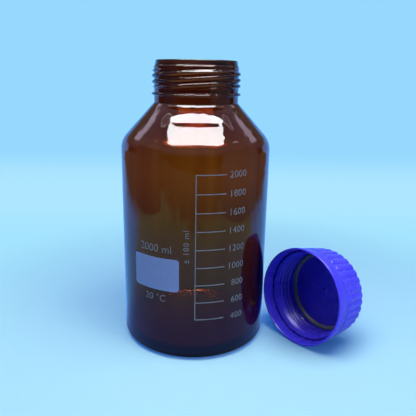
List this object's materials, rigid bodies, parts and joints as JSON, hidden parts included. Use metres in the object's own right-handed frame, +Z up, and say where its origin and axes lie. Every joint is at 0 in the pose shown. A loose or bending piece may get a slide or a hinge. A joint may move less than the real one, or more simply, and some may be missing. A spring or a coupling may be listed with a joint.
{
  "type": "wide-mouth media bottle",
  "caption": "Round wide-mouth laboratory media bottle of amber glass with a white enamel scale and writing field, its violet-blue ribbed screw cap taken off and lying beside it.",
  "frame": {"origin": "middle of the bottle's foot, on the surface that it stands on", "axes": "+Z up along the bottle's axis, -Y towards the side with the printed scale, +X towards the cap that lies beside it"},
  "size_m": [0.2248, 0.1369, 0.2586],
  "materials": {
    "amber_glass": "clear amber borosilicate glass, fire-polished",
    "enamel": "white fired enamel print",
    "cap_plastic": "moulded violet-blue polypropylene, satin gloss",
    "seal": "grey elastomer ring"
  },
  "bodies": {
    "root": {"bottle": "amber_glass", "graduation_scale": "enamel", "writing_panel": "enamel", "screw_cap": "cap_plastic", "sealing_ring": "seal"}
  },
  "joints": []
}
